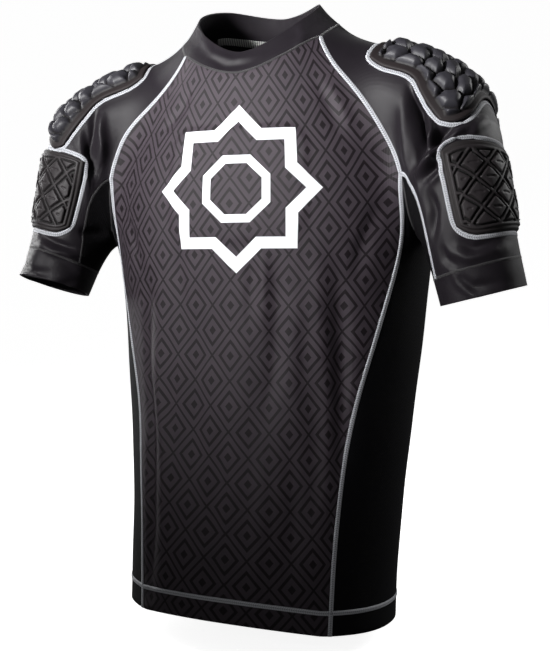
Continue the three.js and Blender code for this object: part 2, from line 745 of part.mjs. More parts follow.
// The cuff carries on from the last row of the sleeve and the gusset, down the sleeve's own line.
function cuffGrid(half) {
  const columns = [...half.sleeveColumns, ...half.gussetColumns.slice(1, -1).reverse()];
  const rowCount = 3;
  return Array.from({ length: rowCount + 1 }, (_, j) =>
    columns.map((column) => {
      const start = column.at(-1);
      const here = sleeveCoordinates(half, start);
      const reach = frameAt(half, Math.ceil(here.place)).middle;
      const step = reach.distanceTo(frameAt(half, Math.ceil(here.place) - 1).middle);
      const { outer, under } = cuffLength[half.side];
      const length = lerp(under, outer, (1 + Math.cos(here.angle)) / 2);
      const place = here.place + (length * j) / rowCount / step;
      return j === 0 ? start : settleIn(half, sleevePoint(half, place, here.angle));
    }),
  );
}

// The top line of the sleeve, to turn millimetres along it into places on the middle line.
function placeAlong(half, distance) {
  let last = sleevePoint(half, 0, 0);
  let run = 0;
  for (let i = 1; i <= frameCount; i += 1) {
    const next = sleevePoint(half, i, 0);
    const step = next.distanceTo(last);
    if (run + step > distance) return i - 1 + (distance - run) / step;
    run += step;
    last = next;
  }
  return frameCount;
}

function padGrid(half, rows, columns, placeOf) {
  return Array.from({ length: rows + 1 }, (_, j) =>
    Array.from({ length: columns + 1 }, (_, i) => {
      const { along, angle } = placeOf((2 * i) / columns - 1, j / rows);
      const guess = sleevePoint(half, placeAlong(half, along), radians(angle));
      return onSkin(half.put(settleIn(half, guess)));
    }),
  );
}

// The shoulder pad covers the top of the shoulder and ends in a lobe at the front and the back.
const padEndAt = curveThrough(shoulderPad.length, "share");
const padAngleAt = curveThrough(shoulderPad.halfAngle, "share");
function shoulderPlace(across, down) {
  const end = padEndAt(across).end;
  return { along: lerp(shoulderPad.start, end, down), angle: across * padAngleAt(down).angle };
}

// Soft blocks of foam in staggered rows, with a valley between them.
const valley = [0, 0.86, 1, 0.86];
function lumpHeight(i, j) {
  const step = shoulderPad.stepsPerLump;
  const lastColumn = shoulderPad.lumpsAcross * step;
  const lastRow = shoulderPad.lumpsAlong * step;
  if (i === 0 || j === 0 || i === lastColumn || j === lastRow) return shoulderPad.base;
  const band = Math.floor(j / step);
  const shifted = i + (band % 2) * (step / 2);
  return shoulderPad.base + shoulderPad.rise * valley[j % step] * valley[shifted % step];
}

// The upper arm pad wraps the outside of the arm, with rounded corners.
function bicepPlace(side) {
  const [start, end] = bicepPad.span[side];
  return (across, down) => {
    const inset = bicepPad.corner * Math.max(Math.abs(across) * 4 - 3, 0) ** 2;
    const angle = bicepPad.turn[side] + across * bicepPad.halfAngle;
    return { along: lerp(start + inset * 0.6, end - inset, down), angle };
  };
}

// Flat plates of foam parted by grooves that cross slantwise.
function plateHeight(i, j) {
  const { stepsAlong, stepsAcross, groovePitch, base, rise } = bicepPad;
  if (i === 0 || j === 0 || i === stepsAcross || j === stepsAlong) return base;
  const inGroove = (i + j) % groovePitch === 0 || (i - j + stepsAcross) % groovePitch === 0;
  return inGroove ? base : base + rise;
}

// What comes on both sides: side panel, sleeve, underarm gusset, cuff and the two pads.
for (const half of Object.values(halves)) {
  const cloth = (grid) => skinGrid(evenOut(grid.map((row) => row.map(half.put))));
  addCloth("side_" + half.side, "mesh", cloth(sidePanel(half)));
  addCloth("sleeve_" + half.side, "plain", cloth(turnGrid(half.sleeveColumns)));
  addCloth("gusset_" + half.side, "mesh", cloth(turnGrid(half.gussetColumns)));
  const cuff = cuffGrid(half).map((row) => row.map(half.put));
  addCloth("cuff_" + half.side, "plain", skinGrid(cuff), true, cuffThickness);
  const { lumpsAlong, lumpsAcross, stepsPerLump } = shoulderPad;
  const lumpRows = lumpsAlong * stepsPerLump;
  const shoulder = padGrid(half, lumpRows, lumpsAcross * stepsPerLump, shoulderPlace);
  const lumps = { inner: padLift, outer: (i, j) => padLift + lumpHeight(i, j), innerStep: 2 };
  addPiece("shoulder_pad_" + half.side, "foam", wallGeometry(shoulder, lumps));
  const bicep = padGrid(half, bicepPad.stepsAlong, bicepPad.stepsAcross, bicepPlace(half.side));
  const plates = { inner: padLift, outer: (i, j) => padLift + plateHeight(i, j), innerStep: 2 };
  addPiece("bicep_pad_" + half.side, "foam", wallGeometry(bicep, plates));
}

// The collar stands on the neck seam and leans in. The columns run once round the neck.
const collarAt = {
  left: curveThrough(collarShape.left, "angle"),
  right: curveThrough(collarShape.right, "angle"),
};
function collarGrid() {
  const side = (half) => half.neckSide.slice(1, -1).map(half.put);
  const ring = [
    ...frontGrid[0],
    ...side(halves.left),
    ...backGrid[0].slice().reverse(),
    ...side(halves.right).reverse(),
  ];
  const rowCount = 3;
  return Array.from({ length: rowCount + 1 }, (_, j) =>
    ring.map((start) => {
      const seam = onSkin(start);
      const level = new THREE.Vector3(start.x, start.y + 3, 0).normalize();
      const { rise, lean } = collarAt[start.x < 0 ? "right" : "left"](
        THREE.MathUtils.radToDeg(Math.acos(-level.y)),
      );
      const climb = j / rowCount;
      const p = seam.p.clone().addScaledVector(level, -lean * climb ** 0.8);
      p.z += rise * climb;
      const leaning = level.clone().multiplyScalar(rise).add(new THREE.Vector3(0, 0, lean));
      const out = seam.out.clone().lerp(leaning.normalize(), Math.min(climb * 2, 1)).normalize();
      return { p, out };
    }),
  );
}
addCloth("collar", "plain", collarGrid(), true, collarThickness);

export default shirt;
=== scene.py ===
import math
import random

import bmesh
import bpy
import numpy as np
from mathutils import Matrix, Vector
from mathutils.bvhtree import BVHTree
from mathutils.kdtree import KDTree


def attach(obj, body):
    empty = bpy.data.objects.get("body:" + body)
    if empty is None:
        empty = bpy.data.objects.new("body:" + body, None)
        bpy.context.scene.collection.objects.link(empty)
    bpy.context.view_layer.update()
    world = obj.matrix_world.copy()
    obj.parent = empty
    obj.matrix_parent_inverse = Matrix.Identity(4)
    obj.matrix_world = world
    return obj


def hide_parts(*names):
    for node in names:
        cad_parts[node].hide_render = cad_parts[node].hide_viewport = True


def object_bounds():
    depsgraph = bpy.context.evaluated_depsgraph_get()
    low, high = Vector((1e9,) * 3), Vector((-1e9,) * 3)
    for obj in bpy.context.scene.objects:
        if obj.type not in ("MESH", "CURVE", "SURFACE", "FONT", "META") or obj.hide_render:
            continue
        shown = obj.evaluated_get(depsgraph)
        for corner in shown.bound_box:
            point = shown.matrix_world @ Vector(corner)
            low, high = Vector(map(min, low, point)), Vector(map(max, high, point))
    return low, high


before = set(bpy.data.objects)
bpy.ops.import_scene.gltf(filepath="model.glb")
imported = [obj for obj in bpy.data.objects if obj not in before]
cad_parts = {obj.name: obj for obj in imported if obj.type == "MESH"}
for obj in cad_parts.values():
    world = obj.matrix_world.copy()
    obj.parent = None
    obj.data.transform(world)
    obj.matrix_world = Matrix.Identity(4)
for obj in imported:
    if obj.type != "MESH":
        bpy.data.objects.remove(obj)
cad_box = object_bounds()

# The camera stands in front of the wearer's left shoulder, a little below the chest, and looks
# slightly down, as the photograph does.
camera_data = bpy.data.cameras.new("camera")
camera_data.lens = 64.24
camera_data.sensor_width = 36
camera_data.clip_end = 20
camera = bpy.data.objects.new("camera", camera_data)
bpy.context.scene.collection.objects.link(camera)
camera.location = (0.513, -1.2055, -0.2566)
camera.rotation_euler = (math.radians(90 - 2.755), 0, math.radians(22.53))
bpy.context.scene.camera = camera
bpy.context.scene.view_settings.view_transform = "Standard"


# The shirt's skin. Every cut panel is knitted polyester and elastane, sewn edge to edge, so the
# outsides of all panels are joined into one surface here, creased as one, and parted again later.
panel_names = ["front", "back", "collar"]
for side in ("left", "right"):
    panel_names += [f"side_{side}", f"sleeve_{side}", f"gusset_{side}", f"cuff_{side}"]

# The middle of each arm, from inside the shoulder over its tip and the upper arm to the cuff.
arm_lines = {
    "left": [
        Vector((0.06, -0.01, -0.10)),
        Vector((0.212, -0.012, -0.12)),
        Vector((0.234, -0.028, -0.204)),
        Vector((0.27, -0.027, -0.345)),
    ],
    "right": [
        Vector((-0.06, -0.01, -0.10)),
        Vector((-0.212, -0.009, -0.118)),
        Vector((-0.233, -0.019, -0.202)),
        Vector((-0.272, -0.054, -0.338)),
    ],
}
sleeve_parts = ("sleeve", "gusset", "cuff", "shoulder", "bicep")
torso_middle = 0.01


def kind_of(name):
    """What a part is, without its side: front, sleeve, shoulder and so on."""
    return name.split("_")[0]


def side_of(name):
    return name.split("_")[-1]


def place_on_arm(side, point):
    """The nearest point of an arm's middle line, the run along it and its direction."""
    best, run = None, 0.0
    line = arm_lines[side]
    for start, end in zip(line, line[1:]):
        span = end - start
        share = max(0.0, min(1.0, (point - start).dot(span) / span.length_squared))
        near = start + span * share
        gap = (point - near).length
        if best is None or gap < best[0]:
            best = (gap, near, run + share * span.length, span.normalized())
        run += span.length
    return best[1:]


def middle_of(name, point):
    """The point inside the body or arm that the cloth at this point looks away from."""
    if kind_of(name) in sleeve_parts:
        return place_on_arm(side_of(name), point)[0]
    return Vector((0, torso_middle, point.z))


def wall_copy(name):
    """A CAD node's mesh with the loose corners of its triangles merged."""
    same_place = 0.00002
    mesh = bmesh.new()
    mesh.from_mesh(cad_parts[name].data)
    bmesh.ops.remove_doubles(mesh, verts=mesh.verts, dist=same_place)
    mesh.verts.ensure_lookup_table()
    return mesh


def keep_outside(mesh, name, thickness):
    """Leaves only the outside of a wall. A point of it has a partner on the inside, one
    thickness away, and an edge along the wall has a partner edge there too."""
    tree = KDTree(len(mesh.verts))
    for vert in mesh.verts:
        tree.insert(vert.co, vert.index)
    tree.balance()
    partner = {}
    for vert in mesh.verts:
        near = tree.find_range(vert.co, thickness * 1.02)
        found = min(near, key=lambda hit: abs(hit[2] - thickness))
        partner[vert] = mesh.verts[found[1]]

    def facing(vert):
        away = vert.co - middle_of(name, vert.co)
        return (vert.co - partner[vert].co).dot(away.normalized())

    start = max(mesh.verts, key=facing)
    outside, todo = {start}, [start]
    while todo:
        vert = todo.pop()
        for edge in vert.link_edges:
            other = edge.other_vert(vert)
            if other in outside or other == partner[vert]:
                continue
            if any(e.other_vert(partner[vert]) == partner[other] for e in partner[vert].link_edges):
                outside.add(other)
                todo.append(other)
    spare = [f for f in mesh.faces if any(v not in outside for v in f.verts)]
    bmesh.ops.delete(mesh, geom=spare, context="FACES")


def square_up(mesh):
    """Takes the slanting edge out of each pair of triangles. Next to a triangle, the slant of
    the next one starts at the corner that its own slant misses."""
    first = max(mesh.faces, key=lambda f: sum(e.is_boundary for e in f.edges))
    ends = [e for e in first.edges if e.is_boundary]
    inner = [e for e in first.edges if not e.is_boundary]
    run = ends[0].verts[1].co - ends[0].verts[0].co

    def across(edge):
        return abs((edge.verts[1].co - edge.verts[0].co).normalized().dot(run.normalized()))

    slants, todo = {first: max(inner, key=across)}, [first]
    while todo:
        face = todo.pop()
        slant = slants[face]
        corner = next(v for v in face.verts if v not in slant.verts)
        for edge in face.edges:
            for other in edge.link_faces:
                if other in slants:
                    continue
                if edge == slant:
                    slants[other] = slant
                else:
                    third = edge.other_vert(corner)
                    slants[other] = next(e for e in other.edges if third not in e.verts)
                todo.append(other)
    bmesh.ops.dissolve_edges(mesh, edges=list(set(slants.values())), use_verts=False)


def thickness_of(name):
    """The thickness of a panel's wall; collar and cuffs are folded double."""
    return {"collar": 0.002, "cuff": 0.0022}.get(kind_of(name), 0.0016)


def outer_sheet(name):
    """The outside of a node's wall as one sheet of four-sided faces."""
    mesh = wall_copy(name)
    keep_outside(mesh, name, thickness_of(name))
    square_up(mesh)
    return mesh


seam_gap = 0.0007
skin = bmesh.new()
panel_layer = skin.faces.layers.int.new("panel")
for index, name in enumerate(panel_names):
    sheet = outer_sheet(name)
    sheet_mesh = bpy.data.meshes.new(name)
    sheet.to_mesh(sheet_mesh)
    sheet.free()
    before = len(skin.faces)
    skin.from_mesh(sheet_mesh)
    skin.faces.ensure_lookup_table()
    for face in skin.faces[before:]:
        face[panel_layer] = index
bmesh.ops.remove_doubles(skin, verts=skin.verts, dist=seam_gap)


def finer(mesh, levels):
    """A smooth copy with more faces. Panel numbers and UV maps go along."""
    data = bpy.data.meshes.new("rough")
    mesh.to_mesh(data)
    rough = bpy.data.objects.new("rough", data)
    bpy.context.scene.collection.objects.link(rough)
    smooth = rough.modifiers.new("smooth", "SUBSURF")
    smooth.levels = smooth.render_levels = levels
    smooth.boundary_smooth = "PRESERVE_CORNERS"
    bpy.context.view_layer.update()
    made = bmesh.new()
    made.from_object(rough, bpy.context.evaluated_depsgraph_get())
    bpy.data.objects.remove(rough)
    made.normal_update()
    return made


# The pads lie still on the cloth, so their backs are read before it is creased: there it stays
# smooth. The backs also carry the pads' own shapes further below.
pad_names = [f"{kind}_pad_{side}" for kind in ("shoulder", "bicep") for side in ("left", "right")]


def pad_back(name):
    """The back of a pad, which lies on the cloth, as a sheet of four-sided faces."""
    steepest = math.radians(48)
    mesh = wall_copy(name)
    mesh.normal_update()

    def facing(face):
        middle = face.calc_center_median()
        return face.normal.dot((middle - middle_of(name, middle)).normalized())

    start = min(mesh.faces, key=facing)
    back, todo = {start}, [start]
    while todo:
        for edge in todo.pop().edges:
            flat = edge.calc_face_angle(math.pi) < steepest
            beyond = [f for f in edge.link_faces if flat and f not in back]
            back.update(beyond)
            todo += beyond
    bmesh.ops.delete(mesh, geom=[f for f in mesh.faces if f not in back], context="FACES")
    bmesh.ops.reverse_faces(mesh, faces=mesh.faces)
    square_up(mesh)
    return mesh


pad_backs = {name: pad_back(name) for name in pad_names}


def soft_step(value, low, high):
    """0 below low, 1 above high and a soft rise between, for numbers and whole arrays."""
    share = np.clip((value - low) / (high - low), 0, 1)
    return share * share * (3 - 2 * share)


skin_levels = 2
skin = finer(skin, skin_levels)
panel_layer = skin.faces.layers.int["panel"]
points = np.array([v.co for v in skin.verts])
outward = np.array([v.normal for v in skin.verts])

# Creases of the worn cloth: which side they are on, how far they stand out (or in, below 0) and
# how wide they are in millimetres, and the points they run through, as x and z.
creases = [
    ("front", -5.8, 7, [(-107, -262), (-110, -358), (-99, -434), (-97, -530), (-98, -612)]),
    ("front", 3.4, 9, [(-88, -280), (-92, -380), (-80, -470), (-80, -590)]),
    ("front", -4.4, 9, [(48, -236), (52, -290), (50, -350), (42, -410)]),
    ("front", -5.4, 8, [(112, -250), (116, -330), (117, -400), (118, -470)]),
    ("front", 3.7, 9, [(94, -240), (95, -310), (101, -380), (104, -470), (98, -560)]),
    ("front", 2.4, 14, [(10, -260), (14, -380), (6, -520)]),
    ("front", -2.7, 12, [(-36, -250), (-42, -380), (-38, -560)]),
    ("front", -2.7, 10, [(66, -420), (72, -500), (70, -600)]),
    ("front", -3.7, 7, [(-150, -190), (-132, -225), (-118, -262)]),
    ("front", -3.4, 7, [(152, -188), (138, -225), (128, -268)]),
    ("front", -17.0, 8, [(190, -60), (194, -96), (196, -132), (192, -160)]),
    ("front", -6.0, 20, [(206, -62), (208, -100), (206, -150)]),
    ("front", 13.5, 4.5, [(199, -90), (211, -118), (209, -134), (190, -160)]),
    ("front", -12.0, 4.5, [(192, -160), (206, -142), (222, -124), (242, -104)]),
    ("front", 15.0, 5.0, [(188, -164), (212, -143), (246, -110)]),
    ("front", -10.5, 4.5, [(200, -168), (226, -149), (248, -130)]),
    ("front", 6.1, 4, [(206, -172), (228, -154), (240, -132)]),
    ("front", 4.7, 3.5, [(262, -102), (252, -116), (245, -130)]),
    ("front", -6.1, 5, [(208, -178), (214, -198), (212, -226)]),
    ("front", -8.5, 4.5, [(-187, -72), (-187, -110), (-187, -150)]),
    ("front", 6.1, 5, [(-178, -78), (-176, -112), (-181, -140)]),
    ("front", -7.0, 4, [(-197, -93), (-192, -121), (-189, -153)]),
    ("front", 6.1, 3.5, [(-223, -121), (-207, -137), (-191, -158)]),
    ("front", -5.7, 3.5, [(-214, -120), (-203, -132), (-194, -146)]),
    ("front", -4.5, 3.5, [(-250, -216), (-230, -226), (-210, -234)]),
    ("front", 3.9, 4, [(-256, -224), (-232, -236), (-206, -240)]),
    ("front", -6.1, 5, [(-208, -214), (-196, -216), (-184, -212)]),
    ("front", -3.9, 4, [(238, -228), (256, -236), (280, -226)]),
    ("front", 3.5, 4, [(228, -236), (250, -246), (282, -236)]),
    ("front", -3.1, 4, [(222, -232), (226, -246), (240, -256)]),
    ("back", -5.1, 8, [(-104, -250), (-98, -350), (-104, -470), (-96, -600)]),
    ("back", 3.7, 9, [(-84, -260), (-80, -380), (-84, -560)]),
    ("back", -5.1, 8, [(98, -240), (106, -350), (98, -460), (102, -580)]),
    ("back", 3.4, 10, [(80, -250), (84, -390), (76, -570)]),
    ("back", -3.7, 12, [(4, -210), (-6, -330), (2, -470)]),
    ("back", -4.1, 8, [(-150, -176), (-128, -214), (-112, -262)]),
    ("back", -4.1, 8, [(150, -180), (130, -218), (116, -268)]),
    ("back", -8.5, 5, [(178, -84), (182, -116), (184, -152)]),
    ("back", 7.6, 5, [(188, -160), (210, -138), (232, -118)]),
    ("back", -7.0, 4.5, [(196, -164), (216, -148), (236, -130)]),
    ("back", -8.5, 5, [(-178, -84), (-183, -116), (-184, -150)]),
    ("back", 7.0, 5, [(-190, -158), (-210, -138), (-230, -116)]),
    ("back", -7.0, 4.5, [(-196, -164), (-216, -150), (-236, -132)]),
    ("back", 4.7, 4, [(-206, -214), (-230, -226), (-256, -216)]),
    ("back", 3.5, 4, [(212, -220), (238, -234), (270, -222)]),
    ("front", -3.6, 5, [(-286, -246), (-262, -258), (-232, -262)]),
    ("front", 3.0, 4, [(-292, -262), (-262, -274), (-226, -276)]),
    ("front", -3.0, 4, [(-258, -290), (-236, -280), (-212, -268)]),
    ("front", 2.6, 4, [(-222, -236), (-212, -252), (-208, -270)]),
    ("front", -3.0, 5, [(236, -262), (254, -274), (286, -268)]),
    ("front", 2.6, 4, [(228, -250), (240, -270), (262, -288)]),
    ("front", 4.0, 6, [(176, -84), (178, -112), (180, -140), (184, -160)]),
    ("front", 1.8, 5, [(-52, -4), (-34, -24), (-8, -34), (24, -30)]),
    ("front", -1.6, 4, [(-40, -26), (-16, -40), (20, -40)]),
    ("front", 1.8, 5, [(58, 6), (66, -10), (62, -26)]),
    ("back", 3.0, 5, [(-232, -244), (-256, -262), (-282, -268)]),
    ("back", 3.0, 5, [(232, -244), (254, -266), (284, -272)]),
    ("front", -3.0, 9, [(-60, -228), (-64, -262), (-58, -330)]),
    ("front", 2.4, 7, [(34, -232), (38, -262), (34, -322)]),
    ("front", -2.8, 7, [(22, -232), (26, -262), (20, -318)]),
    ("front", -2.6, 9, [(84, -300), (80, -350), (84, -410)]),
    ("front", -2.4, 10, [(-10, -430), (-16, -520), (-8, -600)]),
    ("front", 2.2, 9, [(36, -440), (40, -520), (34, -610)]),
    ("front", -2.2, 6, [(-56, -60), (-66, -84), (-92, -108)]),
    ("front", -2.0, 6, [(82, -58), (98, -84), (112, -118)]),
    ("front", 2.0, 6, [(96, -60), (112, -86), (126, -120)]),
]


def crease_lift(face, height, width, path):
    """How far one crease moves each point of the skin along its outward direction. It runs out
    softly at both ends, and where the cloth turns away from its side."""
    flat = points[:, [0, 2]] * 1000
    near, along = np.full(len(flat), 1e9), np.zeros(len(flat))
    for number, (start, end) in enumerate(zip(path, path[1:])):
        start, span = np.array(start, float), np.subtract(end, start).astype(float)
        share = np.clip((flat - start) @ span / (span @ span), 0, 1)
        gap = np.linalg.norm(flat - start - share[:, None] * span, axis=1)
        closer = gap < near
        near[closer] = gap[closer]
        along[closer] = (number + share[closer]) / (len(path) - 1)
    seen = outward[:, 1] * (-1 if face == "front" else 1)
    ends = np.sin(np.pi * np.clip(along, 0.03, 0.97)) ** 0.7
    return height * np.exp(-((near / width) ** 2)) * ends * soft_step(seen, 0.0, 0.45)


lift = sum(crease_lift(*crease) for crease in creases)

# A soft pad is sewn in behind the chest, and its rounded edge shows faintly through the cloth.
# Its middle, half sizes, corner radius and rise are in millimetres.
chest_middle, chest_half, chest_corner, chest_rise = [4, -166], np.array([78, 60]), 26, 1.5
over = np.abs(points[:, [0, 2]] * 1000 - chest_middle) - (chest_half - chest_corner)
edge = np.linalg.norm(np.maximum(over, 0), axis=1) + np.minimum(over.max(axis=1), 0) - chest_corner
lift += np.where(outward[:, 1] < -0.3, chest_rise * (1 - soft_step(edge, -3, 3)), 0)

# Small unevenness all over keeps the stretched cloth from looking moulded. Each wave has its
# rates along x, y and z and its height in millimetres, which also shifts it.
waves = [(21, 3, 13, 0.5), (7, 34, 5, 0.3), (46, 11, 27, 0.25), (13, 5, 61, 0.2)]
for *rates, height in waves:
    lift += height * np.sin(points @ rates + 5 * height)

# All this fades out beside the pads and is gone under them.
still_within, free_beyond = 0.003, 0.009
fine_backs = [finer(back, skin_levels) for back in pad_backs.values()]
covered = KDTree(sum(len(back.verts) for back in fine_backs))
for back in fine_backs:
    for vert in back.verts:
        covered.insert(vert.co, vert.index)
    back.free()
covered.balance()
beside = np.array([covered.find(place)[2] for place in points])
lift *= soft_step(beside, still_within, free_beyond)
points += outward * lift[:, None] / 1000
for vert, place in zip(skin.verts, points):
    vert.co = place
skin.normal_update()

# The weave and the print follow the cloth. Round the body, the map's first number is the length
# along the cloth from the middle of the front; on an arm it is the length round the arm.
# The body's outline for this is a squarish oval with a power between ellipse and rectangle.
body_half_width, body_half_depth, body_power = 0.168, 0.093, 2.5
arm_radius = 0.052
turns = np.linspace(0, math.pi, 181)
outline = np.stack(
    [
        body_half_width * np.sin(turns) ** (2 / body_power),
        -body_half_depth * np.sign(np.cos(turns)) * np.abs(np.cos(turns)) ** (2 / body_power),
    ]
)
run_round = np.concatenate([[0], np.cumsum(np.hypot(*np.diff(outline, axis=1)))])


def body_place(point):
    """The length of cloth from the middle of the front round to a point, and its height."""
    across = abs(point.x / body_half_width) ** (body_power / 2)
    deep = abs((point.y - torso_middle) / body_half_depth) ** (body_power / 2)
    turn = math.atan2(across, deep)
    turn = turn if point.y < torso_middle else math.pi - turn
    return math.copysign(np.interp(turn, turns, run_round), point.x), point.z


def arm_place(side, point):
    """The length of cloth round the arm to a point, and the run along the arm."""
    near, run, along = place_on_arm(side, point)
    ahead = Vector((0, -1, 0))
    out = along.cross(ahead) if side == "right" else ahead.cross(along)
    away = point - near
    return math.atan2(away.dot(ahead), away.dot(out)) * arm_radius, run


def lay_map(mesh, name):
    """Gives a panel its UV map, in metres of cloth, with no face torn where the two ends meet."""
    layer = mesh.loops.layers.uv.new("cloth")
    on_arm = kind_of(name) in sleeve_parts
    whole_turn = 2 * math.pi * arm_radius if on_arm else 2 * run_round[-1]
    for face in mesh.faces:
        first = None
        for loop in face.loops:
            place = loop.vert.co
            u, v = arm_place(side_of(name), place) if on_arm else body_place(place)
            first = u if first is None else first
            loop[layer].uv = (u - whole_turn * round((u - first) / whole_turn), v)


class Wire:
    """A socket of a finish that numbers and other sockets can be reckoned with."""

    def __init__(self, finish, socket):
        self.finish, self.socket = finish, socket

    def reckon(self, operation, *others):
        return self.finish.add("Math", {"operation": operation}, {0: self, **dict(enumerate(others, 1))})

    def __add__(self, other):
        return self.reckon("ADD", other)

    def __sub__(self, other):
        return self.reckon("SUBTRACT", other)

    def __rsub__(self, other):
        return self.finish.add("Math", {"operation": "SUBTRACT"}, {0: other, 1: self})

    def __mul__(self, other):
        return self.reckon("MULTIPLY", other)

    def __truediv__(self, other):
        return self.reckon("DIVIDE", other)

    def __abs__(self):
        return self.reckon("ABSOLUTE")

    __radd__, __rmul__ = __add__, __mul__

    def larger(self, other):
        return self.reckon("MAXIMUM", other)

    def smaller(self, other):
        return self.reckon("MINIMUM", other)

    def repeated(self):
        """How far the number is from the middle between two whole numbers, 0 to a half."""
        return abs(self.reckon("FRACT") - 0.5)

    def rising(self, low, high):
        """0 below low and 1 above high."""
        steps = {"From Min": low, "From Max": high}
        return self.finish.add("MapRange", {"interpolation_type": "SMOOTHSTEP"}, {0: self, **steps})

    def band(self, middle, half, soft):
        """1 within half of the middle, 0 beyond."""
        return 1 - abs(self - middle).rising(half - soft, half + soft)


class Finish:
    """A material built of nodes round one shader."""

    def __init__(self, name, **uniform):
        self.material = bpy.data.materials.new(name)
        self.material.use_nodes = True
        self.nodes = self.material.node_tree.nodes
        self.links = self.material.node_tree.links
        self.shader = self.nodes["Principled BSDF"]
        for socket, value in uniform.items():
            self.shader.inputs[socket.replace("_", " ")].default_value = value

    def feed(self, socket, value):
        if isinstance(value, Wire):
            self.links.new(value.socket, socket)
        else:
            socket.default_value = value

    def add(self, kind, settings=None, inputs=None, output=0):
        node = self.nodes.new("ShaderNode" + kind)
        for key, value in (settings or {}).items():
            setattr(node, key, value)
        for key, value in (inputs or {}).items():
            self.feed(node.inputs[key], value)
        return Wire(self, node.outputs[output])

    def surface(self, **inputs):
        for socket, value in inputs.items():
            self.feed(self.shader.inputs[socket.replace("_", " ")], value)

    def blend(self, share, first, second):
        """A colour between two, by a share from 0 to 1."""
        return self.add(
            "Mix", {"data_type": "RGBA"}, {"Factor": share, "A": first, "B": second}, "Result"
        )

    def map_axes(self):
        """The two numbers of the cloth's map."""
        place = self.add("UVMap", {"uv_map": "cloth"})
        parts = self.add("SeparateXYZ", inputs={0: place})
        return parts, Wire(self, parts.socket.node.outputs[1])

    def noise(self, scale, detail=3.0):
        spot = self.add("TexCoord", output="Object")
        return self.add("TexNoise", inputs={"Vector": spot, "Scale": scale, "Detail": detail})

    def bump(self, height, distance, strength=1.0):
        return self.add("Bump", inputs={"Height": height, "Distance": distance, "Strength": strength})


def scaled(colour, factor):
    """A colour made lighter or darker."""
    return [c * factor for c in colour[:3]] + [1]


def tone(red, green, blue):
    """A colour from its screen values, 0 to 255."""
    parts = [c / 255 for c in (red, green, blue)]
    return (*[c / 12.92 if c < 0.04 else ((c + 0.055) / 1.055) ** 2.4 for c in parts], 1.0)


def knit_height(u, v, gauge):
    """The fine wales and courses of a jersey knit, from 0 to 1."""
    wale = (u / gauge).repeated() * 2
    course = (v / (gauge * 0.8)).repeated() * 2
    return wale * 0.7 + course * 0.3


def printed_cloth():
    """Charcoal jersey printed tone on tone with nested lozenges, and a white star on the chest."""
    finish = Finish("print_cloth", Sheen_Weight=0.03, Sheen_Roughness=0.4, Specular_IOR_Level=0.16)
    u, v = finish.map_axes()
    lozenge_width, lozenge_height = 0.040, 0.0535
    across, down = u / lozenge_width, v / lozenge_height
    slant = (across + down).repeated().larger((across - down).repeated())
    net = slant.rising(0.46, 0.475)
    ring = slant.band(0.285, 0.045, 0.01)
    dot = 1 - slant.rising(0.085, 0.105)
    lines = net.larger(ring).larger(dot)
    star_middle, soft_edge = (0.006, -0.172), 0.0006
    x, y = abs(u - star_middle[0]), abs(v - star_middle[1])
    upright, tilted = x.larger(y), (x + y) * math.sqrt(0.5)
    outline = upright.smaller(tilted).band(0.0565, 0.0060, soft_edge)
    ring_inside = upright.larger(tilted).band(0.031, 0.0042, soft_edge)
    star = outline.larger(ring_inside)
    cloudy = finish.noise(38)
    ground = finish.blend(cloudy, tone(50, 44, 50), tone(60, 53, 59))
    shade = finish.blend(cloudy, tone(18, 14, 17), tone(24, 18, 22))
    cloth = finish.blend(lines, ground, shade)
    white = finish.blend(finish.noise(60), tone(226, 228, 232), tone(243, 245, 248))
    knit = knit_height(u, v, 0.0011)
    finish.surface(
        Base_Color=finish.blend(star, cloth, white),
        Roughness=0.56 - lines * 0.05 - star * 0.16,
        Normal=finish.bump(knit * (1 - star * 0.6) + star * 0.8, 0.00025, 0.6),
    )
    return finish.material


def plain_cloth():
    """Smooth dark jersey with a soft sheen, for the sleeves, back, collar and cuffs."""
    finish = Finish("plain_cloth", Sheen_Weight=0.04, Sheen_Roughness=0.35, Specular_IOR_Level=0.2)
    u, v = finish.map_axes()
    cloudy = finish.noise(30)
    knit = knit_height(u, v, 0.0010)
    finish.surface(
        Base_Color=finish.blend(cloudy, tone(20, 17, 21), tone(30, 26, 31)),
        Roughness=0.42 + cloudy * 0.1,
        Normal=finish.bump(knit, 0.0002, 0.6),
    )
    return finish.material


def mesh_cloth(name, yarn):
    """Dark knitted mesh with staggered pinholes, near black at the sides; the holes are painted shade."""
    finish = Finish(name, Specular_IOR_Level=0.08)
    u, v = finish.map_axes()
    hole_spacing = 0.0030
    nearest = []
    for shift in (0, 0.5):
        across, down = (u / hole_spacing + shift).repeated(), (v / hole_spacing + shift).repeated()
        nearest.append(across * across + down * down)
    # Each pinhole is drawn a third as bright as the yarn: painted shade for the see-through hole, with a
    # dent in the bump.
    hole = 1 - nearest[0].smaller(nearest[1]).rising(0.03, 0.05)
    finish.surface(
        Base_Color=finish.blend(hole, yarn, scaled(yarn, 0.3)),
        Roughness=0.6 + hole * 0.2,
        Normal=finish.bump(1 - hole, 0.0004, 0.7),
    )
    return finish.material


# The finish of each kind of panel, with the slot it fills. All others are plain cloth.
plain = ("plain_cloth", plain_cloth())
# The underarm gussets are dark mesh, made near black also as painted shade of the armpits.
finish_of = {
    "front": ("print_cloth", printed_cloth()),
    "side": ("mesh_cloth", mesh_cloth("mesh_cloth", tone(11, 11, 14))),
    "gusset": ("mesh_cloth", mesh_cloth("underarm_mesh_and_shade", tone(13, 12, 14))),
}


def put_in_scene(name, mesh, material):
    """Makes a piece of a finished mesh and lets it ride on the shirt."""
    data = bpy.data.meshes.new(name)
    mesh.to_mesh(data)
    mesh.free()
    data.polygons.foreach_set("use_smooth", [True] * len(data.polygons))
    data.materials.append(material)
    piece = bpy.data.objects.new(name, data)
    bpy.context.scene.collection.objects.link(piece)
    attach(piece, "root")
    return piece
